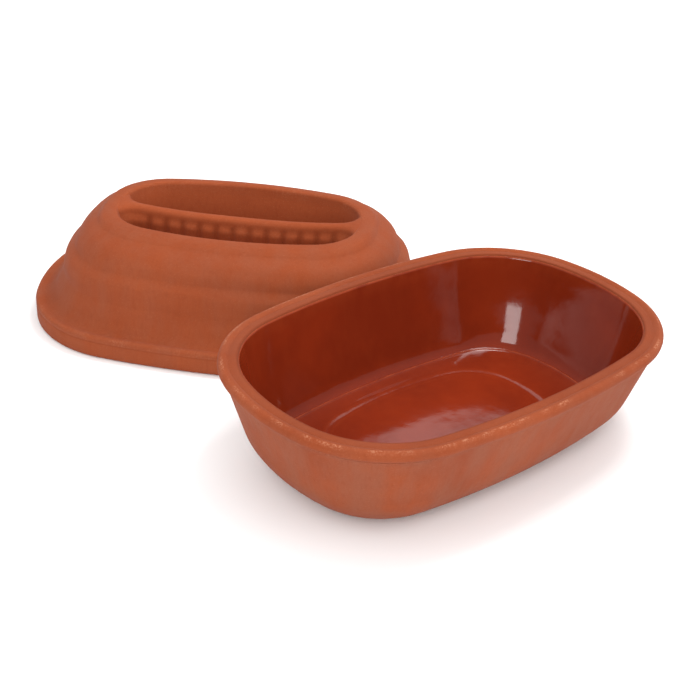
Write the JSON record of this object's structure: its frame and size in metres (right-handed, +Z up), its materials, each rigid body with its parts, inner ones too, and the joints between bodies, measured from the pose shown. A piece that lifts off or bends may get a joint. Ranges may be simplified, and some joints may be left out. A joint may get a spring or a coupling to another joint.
{
  "type": "covered casserole dish",
  "caption": "Oval clay baking dish with a glazed lining, and its ribbed clay lid with a fluted grip bar lying beside it",
  "frame": {"origin": "centre of the dish's foot, on the table", "axes": "+X along the dish's long side, +Y across it towards the lid, +Z up"},
  "size_m": [0.37, 0.5662, 0.1001],
  "materials": {
    "clay": "matte",
    "glaze": "gloss"
  },
  "bodies": {
    "dish": {"dish": "clay", "dish_glaze": "glaze"},
    "lid": {"lid": "clay"}
  },
  "joints": [
    {"name": "lid_lift", "type": "slide", "parent": "dish", "child": "lid", "axis": [0, 0.7071, 0.7071], "range_m": [0, 0.155]}
  ]
}
